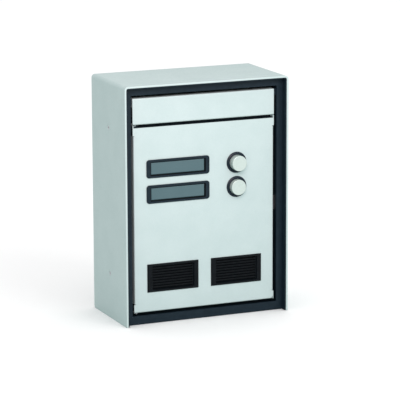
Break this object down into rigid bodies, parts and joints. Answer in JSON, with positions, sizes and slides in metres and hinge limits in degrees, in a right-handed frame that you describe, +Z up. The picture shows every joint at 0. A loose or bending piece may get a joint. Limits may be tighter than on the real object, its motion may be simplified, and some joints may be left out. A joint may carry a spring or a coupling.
{
  "type": "door intercom panel",
  "caption": "Surface-mounted wall box intercom: rain hood, black front frame, hinged flap and door, name plates, push buttons, speech grilles.",
  "frame": {"origin": "on the ground under the middle of the box, half way between the hood's front edge and the wall face", "axes": "+Z up, the front faces -Y, +X to the right seen from the front"},
  "size_m": [0.24, 0.125, 0.33],
  "materials": {
    "silver_paint": "silver-grey fine-textured powder coat",
    "inner_paint": "grey primer coat inside and on the back",
    "steel": "plain zinc-plated steel",
    "black_frame": "black moulded plastic with a fine eroded texture",
    "deep_black": "deep black moulded plastic",
    "cap_metal": "satin clear-anodised face, pale",
    "smoked_window": "slate-grey smoked clear plastic",
    "card": "blank card insert",
    "diffuser": "milky light guide",
    "rubber": "black rubber",
    "board": "green solder mask",
    "terminal": "green terminal plastic",
    "paper_cone": "black paper cone",
    "ferrite": "grey ferrite magnet",
    "brass": "plain brass"
  },
  "bodies": {
    "wall_case": {"hood": "silver_paint", "hood_screw_left_lower": "steel", "hood_screw_right_lower": "steel", "hood_screw_left_upper": "steel", "hood_screw_right_upper": "steel", "front_frame": "black_frame", "frame_screw_left_lower": "steel", "frame_screw_right_lower": "steel", "frame_screw_left_upper": "steel", "frame_screw_right_upper": "steel", "box_body": "inner_paint", "cable_grommet": "rubber", "terminal_rail": "steel", "terminal_block": "terminal", "hinge_pin_upper": "steel", "hinge_pin_lower": "steel", "catch_magnet": "deep_black", "flap_rod": "steel", "flap_buffer_left": "rubber", "flap_buffer_right": "rubber"},
    "flap": {"flap": "silver_paint"},
    "door": {"door_panel": "silver_paint", "door_strike": "steel", "nameplate_bezel_upper": "black_frame", "nameplate_window_upper": "smoked_window", "name_card_upper": "card", "light_guide_upper": "diffuser", "nameplate_bezel_lower": "black_frame", "nameplate_window_lower": "smoked_window", "name_card_lower": "card", "light_guide_lower": "diffuser", "nameplate_lamp_board": "board", "button_collar_upper": "black_frame", "button_nut_upper": "deep_black", "button_spring_upper": "steel", "button_switch_upper": "deep_black", "button_collar_lower": "black_frame", "button_nut_lower": "deep_black", "button_spring_lower": "steel", "button_switch_lower": "deep_black", "speaker_grille": "deep_black", "microphone_grille": "deep_black", "speaker_gasket": "rubber", "speaker_basket": "steel", "speaker_cone": "paper_cone", "speaker_magnet": "ferrite", "microphone_boot": "rubber", "microphone_capsule": "steel", "main_board": "board", "board_spacer_1": "brass", "board_spacer_2": "brass", "board_spacer_3": "brass", "board_spacer_4": "brass", "board_connector": "terminal", "speech_chip": "deep_black", "supply_capacitor": "deep_black"},
    "button_upper": {"button_cap_upper": "cap_metal"},
    "button_lower": {"button_cap_lower": "cap_metal"}
  },
  "joints": [
    {"name": "door_hinge", "type": "hinge", "parent": "wall_case", "child": "door", "pos_m": [-0.099, -0.0425, 0.14525], "axis": [0, 0, -1], "range_deg": [0, 90]},
    {"name": "flap_hinge", "type": "hinge", "parent": "wall_case", "child": "flap", "pos_m": [0, -0.0435, 0.3065], "axis": [-1, 0, 0], "range_deg": [0, 80]},
    {"name": "press_upper", "type": "slide", "parent": "door", "child": "button_upper", "axis": [0, 1, 0], "range_m": [0, 0.002], "stiffness_N_per_m": 800, "springref_m": -0.001, "deforming": ["button_spring_upper"]},
    {"name": "press_lower", "type": "slide", "parent": "door", "child": "button_lower", "axis": [0, 1, 0], "range_m": [0, 0.002], "stiffness_N_per_m": 800, "springref_m": -0.001, "deforming": ["button_spring_lower"]}
  ]
}
